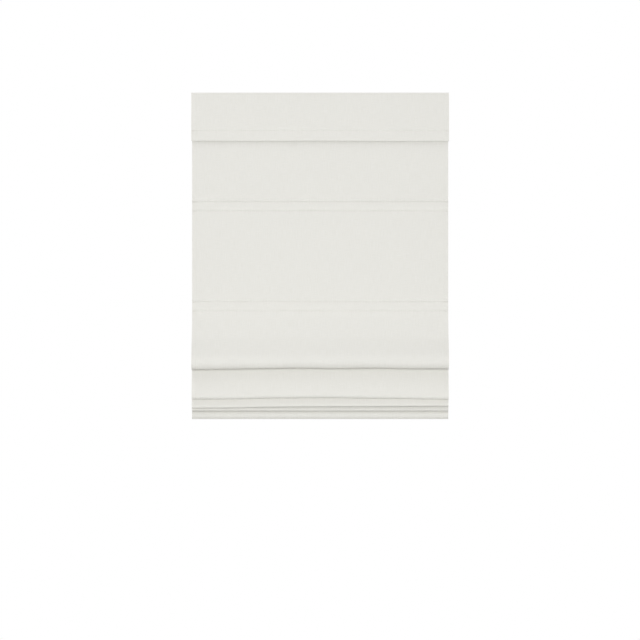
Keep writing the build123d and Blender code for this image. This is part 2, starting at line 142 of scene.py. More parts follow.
enamel, tree, surface = new_material("enamelled_steel", base_color=colour("#E9E8E2"), ior=1.5,
                                     coat_weight=0.25, coat_roughness=0.2)
peel = grain(tree, (1, 1, 1), 1.6 * MM, detail=1.0)
wear(tree, surface, peel.outputs[0], 0.28, 0.36, 0.3, 0.015 * MM)
dress(enamel, "enamelled_steel", "headrail")

white_abs, tree, surface = new_material("abs_moulding", base_color=colour("#E8E7E1"), ior=1.53)
eroded = grain(tree, (1, 1, 1), 0.35 * MM, detail=2.0)
wear(tree, surface, eroded.outputs[0], 0.42, 0.55, 0.35, 0.03 * MM)
dress(white_abs, "white_moulding", *sides("end_cap"))


# Lift shaft, spools and cradles
# The shaft is a hexagonal bar of drawn steel, zinc plated like the plates. The spools slide on it and turn
# in snap-in cradles, all moulded in acetal, and a moulded cap on each end keeps the shaft in place.

dress(zinc_plate, "zinc_plated_steel", "lift_shaft")
dress(acetal, "acetal_moulding", "shaft_end_caps", *sides("lift_spool"), *sides("spool_cradle"))


# Spring motor
# A flat spring of blued steel strip winds from one moulded spool to the other inside a moulded housing
# with a cover on two screws. The blueing is a dark oxide, glossy along the strip and scuffed across it.

dress(acetal, "acetal_moulding", "motor_housing", "motor_cover", "output_spool", "storage_spool")
dress(zinc_plate, "zinc_plated_steel", "storage_axle", "motor_screws")
blued, tree, surface = new_material("blued_spring_steel", base_color=colour("#5A6270"), metallic=1.0)
scuffs = grain(tree, (1, 20, 20), 0.3 * MM)
wear(tree, surface, scuffs.outputs[0], 0.2, 0.38, 0.2, 0.01 * MM)
dress(blued, "spring_steel", "power_spring")


# Hook and loop strips
# The hook strip is stuck to the rail's front and the loop strip is sewn to the cloth, both woven in white
# nylon. One carries rows of stiff hooks about 1.5 mm apart, the other a brushed pile.

hooks, tree, surface = new_material("nylon_hook_tape", base_color=colour("#E4E4DF"), roughness=0.6)
place = add_node(tree, "ShaderNodeTexCoord")
spots = add_node(tree, "ShaderNodeTexVoronoi",
                 {"Vector": place.outputs["Object"], "Scale": 1 / (1.5 * MM), "Randomness": 0.25})
rise = add_node(tree, "ShaderNodeBump",
                {"Height": spots.outputs["Distance"], "Strength": 0.8, "Distance": 0.4 * MM}, invert=True)
tree.links.new(rise.outputs[0], surface.inputs["Normal"])
dress(hooks, "hook_tape", "hook_strip")

pile, tree, surface = new_material("nylon_loop_tape", base_color=colour("#E8E8E3"), roughness=0.9,
                                   sheen_weight=0.4)
brushed = grain(tree, (2, 1, 1), 0.5 * MM, detail=5.0)
wear(tree, surface, brushed.outputs[0], 0.85, 0.95, 0.8, 0.3 * MM)
dress(pile, "hook_tape", "loop_strip")


# Lift cords
# Two 1.4 mm cords braided from white polyester. Each is wound on its spool, leaves it at the front and
# drops through the nozzle and one ring at each rod to a stop. It is drawn in lengths from rod to rod.

ROD_LEVELS = [-304 * MM, -571 * MM, -675 * MM, -707 * MM, -719 * MM, -731 * MM]
CORD_SIDE = 212 * MM
CORD = 1.4 * MM
Y_CORD = -15.8 * MM
SHAFT_Y, SHAFT_Z = -6.0 * MM, -20.5 * MM
BARREL = 9.1 * MM  # radius of the spool that the cord is wound on
WOUND = 24 * MM  # length of that spool that its turns cover
COIL_POINTS = 28  # points in each turn
CORD_END = ROD_LEVELS[-1] - 12.5 * MM
CORD_STEP = 8 * MM  # a hanging cord has a ring of points at least this often

braid, tree, surface = new_material("braided_polyester", base_color=colour("#E7E6DF"), roughness=0.75,
                                    sheen_weight=0.2)
# sixteen strands cross in a diamond pattern that repeats every 2.2 mm along the cord
STRAND_COUNT = 16
DIAMOND = 2.2 * MM
lay = add_node(tree, "ShaderNodeAttribute", attribute_name="lay")
split = add_node(tree, "ShaderNodeSeparateXYZ", {"Vector": lay.outputs["Vector"]})
around = add_node(tree, "ShaderNodeMath", {0: split.outputs["X"], 1: STRAND_COUNT * pi},
                  operation="MULTIPLY")
along = add_node(tree, "ShaderNodeMath", {0: split.outputs["Y"], 1: 2 * pi / DIAMOND},
                 operation="MULTIPLY")
plus = add_node(tree, "ShaderNodeMath", {0: around.outputs[0], 1: along.outputs[0]}, operation="ADD")
minus = add_node(tree, "ShaderNodeMath", {0: around.outputs[0], 1: along.outputs[0]},
                 operation="SUBTRACT")
one_way = add_node(tree, "ShaderNodeMath", {0: plus.outputs[0]}, operation="SINE")
other_way = add_node(tree, "ShaderNodeMath", {0: minus.outputs[0]}, operation="SINE")
crossing = add_node(tree, "ShaderNodeMath", {0: one_way.outputs[0], 1: other_way.outputs[0]},
                    operation="MAXIMUM")
strands = add_node(tree, "ShaderNodeBump",
                   {"Height": crossing.outputs[0], "Strength": 0.7, "Distance": 0.08 * MM})
tree.links.new(strands.outputs[0], surface.inputs["Normal"])


def new_tree(name, **sockets):
    """A Geometry Nodes tree with a geometry input and output, and named inputs for its sizes."""
    made = bpy.data.node_groups.new(name, "GeometryNodeTree")
    made.interface.new_socket("Geometry", in_out="INPUT", socket_type="NodeSocketGeometry")
    for socket, kind in sockets.items():
        made.interface.new_socket(socket.replace("_", " "), in_out="INPUT", socket_type="NodeSocket" + kind)
    made.interface.new_socket("Geometry", in_out="OUTPUT", socket_type="NodeSocketGeometry")
    return made, add_node(made, "NodeGroupInput").outputs, add_node(made, "NodeGroupOutput").inputs


def grow(name, tree, lines, **inputs):
    """Runs a tree on lines of points, each a list and whether it is closed, and keeps a plain mesh."""
    points, edges = [], []
    for line, closed in lines:
        first = len(points)
        points += [tuple(p) for p in line]
        edges += [(i, i + 1) for i in range(first, len(points) - 1)]
        if closed:
            edges.append((len(points) - 1, first))
    seed_mesh = bpy.data.meshes.new(name)
    seed_mesh.from_pydata(points, edges, [])
    made = bpy.data.objects.new(name, seed_mesh)
    bpy.context.collection.objects.link(made)
    run = made.modifiers.new("grow", "NODES")
    run.node_group = tree
    for item in tree.interface.items_tree:
        key = item.name.replace(" ", "_")
        if item.in_out == "INPUT" and key in inputs:
            run[item.identifier] = inputs[key]
    made.update_tag()
    done = made.evaluated_get(bpy.context.evaluated_depsgraph_get())
    plain = bpy.data.meshes.new_from_object(done)
    made.modifiers.remove(run)
    made.data = plain
    return made


# a round strand along each line, which remembers how far round and along it each point is
twine, given, result = new_tree("twine", Diameter="Float", Sides="Int", Material="Material")
line = add_node(twine, "GeometryNodeMeshToCurve", {"Mesh": given["Geometry"]})
far = add_node(twine, "GeometryNodeSplineParameter")
run_on = add_node(twine, "GeometryNodeCaptureAttribute", {"Geometry": line.outputs[0]})
run_on.capture_items.new("FLOAT", "along")
twine.links.new(far.outputs["Length"], run_on.inputs["along"])
radius = add_node(twine, "ShaderNodeMath", {0: given["Diameter"], 1: 0.5}, operation="MULTIPLY")
section = add_node(twine, "GeometryNodeCurvePrimitiveCircle",
                   {"Resolution": given["Sides"], "Radius": radius.outputs[0]})
turn = add_node(twine, "GeometryNodeSplineParameter")
round_it = add_node(twine, "GeometryNodeCaptureAttribute", {"Geometry": section.outputs[0]})
round_it.capture_items.new("FLOAT", "around")
twine.links.new(turn.outputs["Factor"], round_it.inputs["around"])
tube = add_node(twine, "GeometryNodeCurveToMesh",
                {"Curve": run_on.outputs[0], "Profile Curve": round_it.outputs[0], "Fill Caps": True})
both = add_node(twine, "ShaderNodeCombineXYZ",
                {"X": round_it.outputs["around"], "Y": run_on.outputs["along"]})
kept = add_node(twine, "GeometryNodeStoreNamedAttribute",
                {"Geometry": tube.outputs[0], "Name": "lay", "Value": both.outputs[0]},
                data_type="FLOAT_VECTOR")
smooth = add_node(twine, "GeometryNodeSetShadeSmooth", {"Geometry": kept.outputs[0]})
coated = add_node(twine, "GeometryNodeSetMaterial",
                  {"Geometry": smooth.outputs[0], "Material": given["Material"]})
twine.links.new(coated.outputs[0], result["Geometry"])


def follow(obj, gap):
    """Hangs a soft piece that lies between rod gap - 1, or the rail, and rod gap. In the two flat panels it
    hangs from the upper one with a mesh of its own. In the stack it is fixed where it lies."""
    upper = "headrail" if gap == 1 else f"rod_{gap - 1}"
    if gap <= 2:
        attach(obj, upper)
        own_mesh(obj)
    else:
        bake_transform(obj)


for side, hand in ((1, "right"), (-1, "left")):
    x = side * CORD_SIDE
    reach = BARREL + CORD / 2
    turns = WOUND / CORD
    coil = []
    for k in range(int(turns * COIL_POINTS) + 1):
        angle = 2 * pi * k / COIL_POINTS
        across = side * (CORD_SIDE - k / COIL_POINTS * CORD)
        coil.append((across, SHAFT_Y - reach * cos(angle), SHAFT_Z + reach * sin(angle)))
    # a little thinner than the cord, so that neighbouring turns don't meet
    wound = grow(f"cord_turns_{hand}", twine, [(coil, False)], Diameter=CORD * 0.98, Sides=8,
                 Material=braid)
    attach(wound, "lift_shaft")
    ends = [SHAFT_Z, *ROD_LEVELS, CORD_END]
    for k, (top, bottom) in enumerate(zip(ends, ends[1:])):
        count = max(2, ceil((top - bottom) / CORD_STEP))
        drop = [(x, Y_CORD, top + (bottom - top) * i / count) for i in range(count + 1)]
        part = grow(f"cord_{hand}_{k + 1}", twine, [(drop, False)], Diameter=CORD, Sides=12, Material=braid)
        if k < 6:
            follow(part, k + 1)
        else:
            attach(part, "rod_6")
        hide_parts(f"lift_cord_{hand}")
    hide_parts(f"lift_cord_{hand}")


# Shade cloth
# One width of off-white plain-woven cloth with a white sateen lining, turned over at both sides and sewn.
# It hangs flat, then in four folds that lap forward over each other where the rods have been lifted.

Y_CLOTH = -27.8 * MM
HALF_WIDTH = 342 * MM
THICK = 0.8 * MM
TURN = 1.2  # in mm, half the distance between the middles of two layers that meet at a rod
HEM_BOTTOM = -872  # in mm, as are the lowest lines of the four folds
FOLDS = (-734.7, -814.3, -838.2, -849.7)
SIDE_HEM = 14 * MM
SIDE_SEAM = 331 * MM
HEM_LAYER = 0.22 * MM  # how much the turned edge thickens the cloth, pressed flat
HEM_FROM = 40 * MM  # above this the loop strip lies on the cloth's back

face_cloth, tree, surface = new_material("plain_woven_cloth", base_color=colour("#E7E6E1"), roughness=0.88,
                                         sheen_weight=0.12, sheen_roughness=0.5, ior=1.45)
# threads 0.55 mm apart cross over and under, drawn a little coarser than such cloth's so that they show,
# and thicker slubs run along some of the weft and the warp
THREAD_GAP = 0.55 * MM
own = add_node(tree, "ShaderNodeUVMap", uv_map="cut")
cut = add_node(tree, "ShaderNodeSeparateXYZ", {"Vector": own.outputs[0]})
waves = []
for axis in ("X", "Y"):
    step = add_node(tree, "ShaderNodeMath", {0: cut.outputs[axis], 1: pi / THREAD_GAP},
                    operation="MULTIPLY")
    waves.append(add_node(tree, "ShaderNodeMath", {0: step.outputs[0]}, operation="SINE"))
weave = add_node(tree, "ShaderNodeMath", {0: waves[0].outputs[0], 1: waves[1].outputs[0]},
                 operation="MULTIPLY")
slub_place = add_node(tree, "ShaderNodeMapping",
                      {"Vector": own.outputs[0], "Scale": (1 / (22 * MM), 1 / (1.1 * MM), 1)})
slubs = add_node(tree, "ShaderNodeTexNoise", {"Vector": slub_place.outputs[0], "Scale": 1.0, "Detail": 2.0})
warp_place = add_node(tree, "ShaderNodeMapping",
                      {"Vector": own.outputs[0], "Scale": (1 / (1.3 * MM), 1 / (30 * MM), 1)})
warps = add_node(tree, "ShaderNodeTexNoise", {"Vector": warp_place.outputs[0], "Scale": 1.0, "Detail": 1.0})
threads = add_node(tree, "ShaderNodeMath", {0: slubs.outputs[0], 1: warps.outputs[0]}, operation="ADD")
tone = add_node(tree, "ShaderNodeMapRange",
                {"Value": threads.outputs[0], "From Min": 0.7, "From Max": 1.3,
                 "To Min": 0.0, "To Max": 1.0})
shade = add_node(tree, "ShaderNodeMix",
                 {"Factor": tone.outputs[0], "A": colour("#E5E4DE"), "B": colour("#EAE9E4")},
                 data_type="RGBA")
tree.links.new(shade.outputs["Result"], surface.inputs["Base Color"])
fine = add_node(tree, "ShaderNodeBump",
                {"Height": weave.outputs[0], "Strength": 0.5, "Distance": 0.07 * MM})
coarse = add_node(tree, "ShaderNodeBump",
                  {"Height": threads.outputs[0], "Strength": 0.5, "Distance": 0.12 * MM,
                   "Normal": fine.outputs[0]})
tree.links.new(coarse.outputs[0], surface.inputs["Normal"])

lining, tree, surface = new_material("cotton_sateen_lining", base_color=colour("#E9E9E4"), roughness=0.7,
                                     sheen_weight=0.2, sheen_roughness=0.4)
own = add_node(tree, "ShaderNodeUVMap", uv_map="cut")
# sateen: long floats along the warp, 0.3 mm apart, that give it a faint smooth line
floats_place = add_node(tree, "ShaderNodeMapping",
                        {"Vector": own.outputs[0], "Scale": (1 / (0.3 * MM), 1 / (6 * MM), 1)})
floats = add_node(tree, "ShaderNodeTexNoise",
                  {"Vector": floats_place.outputs[0], "Scale": 1.0, "Detail": 2.0})
wear(tree, surface, floats.outputs[0], 0.62, 0.78, 0.4, 0.05 * MM)

# sewing thread: spun polyester in the cloth's colour, painted a little darker as shade; its close zigzags
# at the rods' seam ends are painted shadow in the pocket mouths
thread, tree, surface = new_material("sewing_thread", base_color=colour("#D8D6CE"), roughness=0.7)
twist = grain(tree, (1, 1, 1), 0.15 * MM)
wear(tree, surface, twist.outputs[0], 0.6, 0.8, 0.6, 0.03 * MM)


def rounded(corners):
    """A line through corners given as (forward, level, radius) in mm, as points in metres, with the
    distance along it of every point and of each corner's middle."""
    points, middles = [np.array(corners[0][:2], float)], [0]
    for before, corner, after in zip(corners, corners[1:], corners[2:]):
        a, b, c = (np.array(p[:2], float) for p in (before, corner, after))
        u, v = (b - a) / np.linalg.norm(b - a), (c - b) / np.linalg.norm(c - b)
        bend = np.arctan2(u[0] * v[1] - u[1] * v[0], u @ v)
        # an even number of steps of 7 degrees at most, so that the bend's middle is a point too
        steps = 2 * max(1, ceil(abs(np.degrees(bend)) / 14))
        start = b - u * corner[2] * tan(abs(bend) / 2)
        side = np.array([-u[1], u[0]]) * np.sign(bend)
        for k in range(steps + 1):
            swing = abs(bend) * k / steps
            points.append(start + corner[2] * (u * sin(swing) + side * (1 - cos(swing))))
        middles.append(len(points) - 1 - steps // 2)
    points.append(np.array(corners[-1][:2], float))
    middles.append(len(points) - 1)
    line = np.array(points) * MM
    along = np.concatenate([[0], np.cumsum(np.linalg.norm(np.diff(line, axis=0), axis=1))])
    return line, along, along[middles]


def hairpin(level, slope):
    """Where two layers meet in front of a rod and fall forward at a slope, in degrees."""
    lean = radians(slope)
    return [(2 * TURN * sin(lean), level + TURN * cos(lean), 0.9), (0, level - TURN * cos(lean), 0.9)]


# the cloth's middle seen from the side, from its top edge to the end of the turned-up hem: it lies half
# the cloth's thickness, 0.4 mm, above the lowest line of each fold and of the hem
s3, s4, s5, s6 = (level / MM for level in ROD_LEVELS[2:])
fold_a, fold_b, fold_c, fold_d = (level + 0.4 for level in FOLDS)
foot = HEM_BOTTOM + 0.4
SHADE = [
    (0, -2, None), (0, -600, 90), (21, -655, 90), (52, -703, 40),
    (57, fold_a, 16), (26, fold_a, 10), (19, s3 - 20, 9), *hairpin(s3, 50), (12.8, s4 + 3, 18),
    (35, fold_b, 7.2), (19.4, fold_b, 7.2), (10.6, s4 - 6.6, 4), *hairpin(s4, 42), (8.6, s4 - 8.8, 5),
    (17, -810, 20),
    (25, fold_c, 3.4), (17.2, fold_c, 3.4), (6.6, s5 - 4, 3), *hairpin(s5, 48), (4.5, s5 - 6.5, 3),
    (10.5, -836, 8),
    (15.5, fold_d, 3.6), (4.6, fold_d, 3.6), (2.2, s6 + TURN, 0.9), (0, s6 + TURN, 0.9),
    (0, -847, 5), (7.5, -858, 8), (5.6, -866, 6), (-0.2, foot, 2.2), (-3.8, foot, 1.4),
    (-3.8, foot + 22, 2.5), (-0.84, foot + 29, 3), (-0.84, foot + 34, None),
]
shade_line, shade_along, at_corner = rounded(SHADE)
# the corners with which the bends round rods 3 to 6 and under folds A to D start, and the hem's corner
ROD_BENDS = (7, 13, 20, 26)
FOLD_BENDS = (4, 10, 17, 24)
HEM_CORNER = 31


def between(first):
    """The distance along the cloth of the middle between a corner and the next one."""
    return (at_corner[first] + at_corner[first + 1]) / 2


# distances along the cloth of the rods and of the lowest line of each fold
flat_part = slice(8)  # the line's points down to below rod 2
to_rod_1 = 302 * MM  # from the cloth's top edge
to_rod_2 = np.interp(-ROD_LEVELS[1], -shade_line[flat_part, 1], shade_along[flat_part])
rod_at = [to_rod_1, to_rod_2, *(between(bend) for bend in ROD_BENDS)]
fold_at = [between(bend) for bend in FOLD_BENDS]
hem_turn = at_corner[HEM_CORNER]
cloth_end = shade_along[-1]
POCKET = 12.2 * MM  # about how far each rod's two lines of stitches are from it
hem_seam = hem_turn - 31 * MM


def ripple(x, lengths, seed):
    """A smooth uneven wave across the cloth, from -1 to 1, of waves of these lengths in metres."""
    phases = np.random.default_rng(seed).uniform(0, 2 * pi, len(lengths))
    return sum(np.sin(2 * pi * x / length + phase) for length, phase in zip(lengths, phases)) / len(lengths)


# in each gap between two rods, how far the cloth waves, and how much lower it hangs at its left and right
SLACK = [0.5 * MM, 0.6 * MM, 1.2 * MM, 0.6 * MM, 0.2 * MM, 0.1 * MM]
SAG = [(0, 0), (0, 0), (3.7 * MM, 1.9 * MM), (4.0 * MM, 4.0 * MM), (3.7 * MM, -1.3 * MM), (0, 0)]
# how strongly each rod's upper and lower line of stitches draws the cloth in
DRAWN = [(1.9, 0.95), (1.3, 0.75), (1.2, 0.7), (1.0, 0.6), (0.8, 0.5), (0.6, 0.4)]


def seams():
    """Every line of stitches across the cloth: its distance along it, how deep it draws the cloth in and
    how unevenly."""
    lines = []
    for at, (upper, lower) in zip(rod_at, DRAWN):
        lines += [(at - POCKET + 0.8 * MM, upper, 0.15), (at + POCKET + 0.6 * MM, lower, 0.6)]
    return lines + [(hem_seam, 0.6, 0.4)]


def shade_surface(x, s):
    """The cloth's middle at x across and s along it, as three arrays."""
    line_f, line_z = shade_line.T
    forward = np.interp(s, shade_along, line_f)
    level = np.interp(s, shade_along, line_z)
    step = 0.4 * MM
    run_f = np.interp(s + step, shade_along, line_f) - np.interp(s - step, shade_along, line_f)
    run_z = np.interp(s + step, shade_along, line_z) - np.interp(s - step, shade_along, line_z)
    size = np.maximum(np.hypot(run_f, run_z), 1e-9)
    out_f, out_z = -run_z / size, run_f / size
    moved = np.zeros(np.broadcast(x, s).shape)
    drop = np.zeros_like(moved)
    # in each gap the cloth stands off most at one place and not at all at its ends, the first of which is
    # where the loop strip lets it go
    limits = [15 * MM, *rod_at]
    widest = [160 * MM, (rod_at[0] + rod_at[1]) / 2, *fold_at]
    for n, (start, most, end) in enumerate(zip(limits, widest, limits[1:])):
        share = np.clip(np.where(s < most, (s - start) / (most - start), (end - s) / (end - most)), 0, 1)
        swell = np.sin(pi / 2 * share) ** 2
        moved = moved + SLACK[n] * swell * ripple(x + 0.3 * s, (0.47, 0.31, 0.19), 40 + n)
        left, right = SAG[n]
        drop = drop + swell * np.where(x < 0, left, right) * np.sin(pi / 2 * x / HALF_WIDTH) ** 2
    for number, (at, depth, patchy) in enumerate(seams()):
        near = s - at
        uneven = 1 + patchy * ripple(x, (0.21, 0.083, 0.034), 70 + number)
        ditch = -0.4 * MM * np.exp(-(near / (1.2 * MM)) ** 2)
        swelling = 1.25 * MM * np.exp(-((near + 4.8 * MM) / (3.6 * MM)) ** 2)
        fading = np.exp(-np.abs(near) / (6 * MM))
        pucker = 0.1 * MM * ripple(x, (0.0105, 0.0076, 0.0143), 90 + number) * fading
        moved = moved + depth * uneven * (ditch + swelling) + pucker
    return x + 0 * moved, Y_CLOTH - forward - out_f * moved, level + out_z * moved - drop


def rows_between(start, end, line_along, seam_places):
    """Distances along a cloth: close together in its bends and beside its seams, wider where it is flat."""
    rows = {round(v, 6) for v in line_along if start < v < end} | {round(start, 6), round(end, 6)}
    for at in seam_places:
        beside = [at + k * 0.8 * MM for k in range(-14, 6)]
        rows |= {round(v, 6) for v in beside if start < v < end}
    # rows that nearly meet are left out, and further rows fill gaps of more than 7 mm
    marks = sorted(rows)
    filled = [marks[0]]
    for mark in marks[1:]:
        gap = mark - filled[-1]
        if gap < 0.12 * MM and mark != marks[-1]:
            continue
        count = ceil(gap / (7 * MM))
        filled += [filled[-1] + gap * k / count for k in range(1, count)] + [mark]
    return np.array(filled)


def facing(surface_at, x, s):
    """Points of a cloth's middle and the direction in which its face looks there."""
    e = 0.05 * MM
    grid = np.stack(surface_at(x, s), axis=-1)
    across = np.stack(surface_at(x + e, s), axis=-1) - np.stack(surface_at(x - e, s), axis=-1)
    down = np.stack(surface_at(x, s + e), axis=-1) - np.stack(surface_at(x, s - e), axis=-1)
    normal = np.cross(down, across)
    return grid, normal / np.maximum(np.linalg.norm(normal, axis=-1, keepdims=True), 1e-12)


def columns(half):
    """Places across a cloth, closer together beside its two edges."""
    edge = half - np.array([0, 1.5, 3, 5, 7, 9.5]) * MM
    inner = np.linspace(-half + 13 * MM, half - 13 * MM, 161)
    return np.sort(np.concatenate([-edge, inner, edge]))


def sewn_cloth(name, surface_at, s, x, front, back, materials):
    """A closed sheet. Front and back are its face's and back's distances from its middle, and materials
    are those of its face and of its back, where a turned side hem shows the face cloth again."""
    grid, normal = facing(surface_at, x[None, :], s[:, None])
    rows, cols = len(s), len(x)
    points = np.concatenate([(grid + normal * front).reshape(-1, 3), (grid - normal * back).reshape(-1, 3)])
    # quads between neighbouring points, on the face and turned round on the back
    i, j = np.meshgrid(np.arange(rows - 1), np.arange(cols - 1), indexing="ij")
    a = (i * cols + j).ravel()
    face = np.stack([a, a + cols, a + cols + 1, a + 1], axis=1)
    under = face[:, ::-1] + rows * cols
    # narrow quads close the top, the foot and both sides
    top = np.arange(cols - 1)
    low = (rows - 1) * cols + top
    left = np.arange(rows - 1) * cols
    right = left + cols - 1
    n = rows * cols
    rims = [
        np.stack([top, top + 1, top + 1 + n, top + n], axis=1),
        np.stack([low + 1, low, low + n, low + 1 + n], axis=1),
        np.stack([left, left + n, left + cols + n, left + cols], axis=1),
        np.stack([right, right + cols, right + cols + n, right + n], axis=1),
    ]
    faces = np.concatenate([face, under, *rims])
    mesh = bpy.data.meshes.new(name)
    mesh.from_pydata(points, [], faces.tolist())
    for material in materials:
        mesh.materials.append(material)
    # the lining shows on the back, between the two side hems
    inside = np.abs((x[:-1] + x[1:]) / 2) < x[-1] - SIDE_HEM
    lined = np.zeros(len(faces), np.int32)
    lined[len(face):2 * len(face)] = np.tile(inside, rows - 1) if len(materials) > 1 else 0
    mesh.polygons.foreach_set("material_index", lined)
    # the weave follows each point's place on the flat cloth, in metres
    cut_map = mesh.uv_layers.new(name="cut")
    where = np.stack(np.broadcast_arrays(x[None, :], s[:, None]), axis=-1).reshape(-1, 2)
    cut_map.data.foreach_set("uv", np.concatenate([where, where])[faces.ravel()].astype(np.float32).ravel())
    mesh.shade_smooth()
    mesh.set_sharp_from_angle(angle=radians(50))
    made = bpy.data.objects.new(name, mesh)
    bpy.context.collection.objects.link(made)
    return made


# one stitch every 3 mm: a lens of thread, sunk at both ends and a little uneven, along each line
stitching, given, result = new_tree("stitching", Pitch="Float", Thread="Float", Unevenness="Float",
                                    Seed="Int", Material="Material")
line = add_node(stitching, "GeometryNodeMeshToCurve", {"Mesh": given["Geometry"]})
spaced = add_node(stitching, "GeometryNodeResampleCurve",
                  {"Curve": line.outputs[0], "Length": given["Pitch"]}, mode="LENGTH")
lens = add_node(stitching, "GeometryNodeMeshUVSphere", {"Segments": 6, "Rings": 4, "Radius": 0.5})
heading = add_node(stitching, "GeometryNodeInputTangent")
turned = add_node(stitching, "FunctionNodeAlignRotationToVector", {"Vector": heading.outputs[0]}, axis="Z")
length = add_node(stitching, "ShaderNodeMath", {0: given["Pitch"], 1: 0.86}, operation="MULTIPLY")
least = add_node(stitching, "ShaderNodeMath", {0: 1.0, 1: given["Unevenness"]}, operation="SUBTRACT")
uneven = add_node(stitching, "FunctionNodeRandomValue",
                  {2: least.outputs[0], 3: 1.0, "Seed": given["Seed"]})
long_side = add_node(stitching, "ShaderNodeMath", {0: length.outputs[0], 1: uneven.outputs[1]},
                     operation="MULTIPLY")
size = add_node(stitching, "ShaderNodeCombineXYZ",
                {"X": given["Thread"], "Y": given["Thread"], "Z": long_side.outputs[0]})
placed = add_node(stitching, "GeometryNodeInstanceOnPoints",
                  {"Points": spaced.outputs[0], "Instance": lens.outputs["Mesh"],
                   "Rotation": turned.outputs[0], "Scale": size.outputs[0]})
real = add_node(stitching, "GeometryNodeRealizeInstances", {"Geometry": placed.outputs[0]})
smooth = add_node(stitching, "GeometryNodeSetShadeSmooth", {"Geometry": real.outputs[0]})
coated = add_node(stitching, "GeometryNodeSetMaterial",
                  {"Geometry": smooth.outputs[0], "Material": given["Material"]})
stitching.links.new(coated.outputs[0], result["Geometry"])
STITCH, THREAD = 3.0 * MM, 0.38 * MM
THREAD_OUT = THICK / 2 + 0.06 * MM  # from the cloth's middle to the stitches on its face
SEAM_END = 2 * MM  # from the cloth's side to the first stitch of a seam across it
TACK_THREAD = 0.55 * MM  # stitches sewn close over each other look thicker
TACK_OUT = THICK / 2 + 0.2 * MM
TACK_START = 9 * MM  # from the cloth's side to the start of the zigzag, which then runs outwards
TACK_STEP = 0.65 * MM


def seam_line(surface_at, x, s, lift):
    """A line of thread through places on a cloth, lifted from its middle to its face."""
    grid, normal = facing(surface_at, np.asarray(x), np.asarray(s))
    return (grid + normal * lift).tolist(), False


def side_seam(surface_at, at, start, end):
    """The line of a side hem's stitches, down the cloth from start to end."""
    s = np.linspace(start + 1.5 * MM, end - 1.5 * MM, max(4, ceil((end - start) / (2 * MM))))
    return seam_line(surface_at, np.full_like(s, at), s, THREAD_OUT)


def cross_seam(surface_at, at, half):
    """The line of a seam's stitches across a cloth that is twice half wide."""
    x = np.linspace(SEAM_END - half, half - SEAM_END, 340)
    return seam_line(surface_at, x, np.full_like(x, at), THREAD_OUT)


def sew(name, lines, seed):
    """The stitches of one piece of cloth."""
    return grow(name + "_stitches", stitching, lines, Pitch=STITCH, Thread=THREAD, Unevenness=0.15,
                Seed=seed, Material=thread)


def tack(name, surface_at, seams_here, half):
    """Both ends of each seam, where a few close stitches are sewn back over it, as zigzags of thread."""
    k = np.arange(12)
    lines = []
    for at in seams_here:
        for end in (-1, 1):
            across = end * (half - TACK_START + TACK_STEP * k)
            lines.append(seam_line(surface_at, across, at + 0.8 * MM * (-1.0) ** k, TACK_OUT))
    return grow(name + "_tacks", twine, lines, Diameter=TACK_THREAD, Sides=6, Material=thread)


x = columns(HALF_WIDTH)
side_hem = np.where(np.abs(x) > HALF_WIDTH - SIDE_HEM, HEM_LAYER, 0.0)
places = [at for at, depth, patchy in seams()]
cuts = [0.0, rod_at[0], rod_at[1]]
names = ["panel_upper", "panel_middle"]
hangs_from = ["loop_strip", "rod_1"]
for n, letter in enumerate("abcd"):
    names += [f"fold_{letter}_front", f"fold_{letter}_back"]
    cuts += [fold_at[n], rod_at[n + 2]]
    hangs_from += [f"rod_{n + 2}", f"rod_{n + 3}"]
names.append("skirt")
cuts.append(cloth_end)
hangs_from.append("rod_6")

for k, name in enumerate(names):
    start, end = cuts[k], cuts[k + 1]
    s = rows_between(start, end, shade_along, places)
    back = THICK / 2 + side_hem[None, :, None] * (s > HEM_FROM)[:, None, None]
    # the back of a fold turns over when the stack opens, so both its sides are drawn in the face cloth
    cloths = [face_cloth] if name.endswith("back") else [face_cloth, lining]
    piece = sewn_cloth(name, shade_surface, s, x, THICK / 2, back, cloths)
    seams_here = [at for at in places if start < at < end]
    lines = [side_seam(shade_surface, at, start, min(end, hem_seam)) for at in (-SIDE_SEAM, SIDE_SEAM)]
    lines += [cross_seam(shade_surface, at, HALF_WIDTH) for at in seams_here]
    threads = [sew(name, lines, 11 + k)]
    # only the seams of the two rods that hang free show their ends in front; the zigzags of darker thread
    # there are painted shadow, standing in for the shade in the pocket mouths
    if name in ("panel_upper", "panel_middle", "fold_a_front"):
        threads.append(tack(name, shade_surface, seams_here, HALF_WIDTH))
    for made in (piece, *threads):
        if name.startswith("panel"):
            follow(made, k + 1)
        elif name.endswith("front"):
            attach(made, f"rod_{k // 2 + 1}")
        elif name.endswith("back"):
            gap = (k + 1) // 2 + 1
            row = shade_surface(x, np.full_like(x, start))[2]
            follow(made, gap)
        else:
            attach(made, "rod_6")
        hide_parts("shade_cloth")


# Rod pockets
# A strip of lining is sewn behind the cloth along two lines above and below each rod. In the two flat
# panels it is drawn in halves, above and below the rod, each with a mesh of its own.

OUT = -6.7  # in mm, where a strip passes behind its rod, from the cloth's middle
HALF_POCKET = 340 * MM
STRIP = 0.6 * MM  # thickness of the lining


def flat_strip(level, way):
    """One half of a flat pocket, from its sewn edge to the rod's level, above (1) or below (-1) it."""
    half = [(-0.7, level + way * 13.8, None), (-0.7, level + way * 11.2, 1.5),
            (OUT, level + way * 3.6, 3), (OUT, level, None)]
    return half if way > 0 else half[::-1]


def folded_strip(above, above_level, below, level):
    """A pocket in the stack, from the layer above its rod, round behind the rod, to the layer below it.
    The two layers are given by how far forward they lie."""
    high, low = level + 3.3, level - 3.3
    return [(above, above_level, None), (above - 3, high, 1.2), (OUT, high, 3), (OUT, low, 3),
            (below, low, None)]


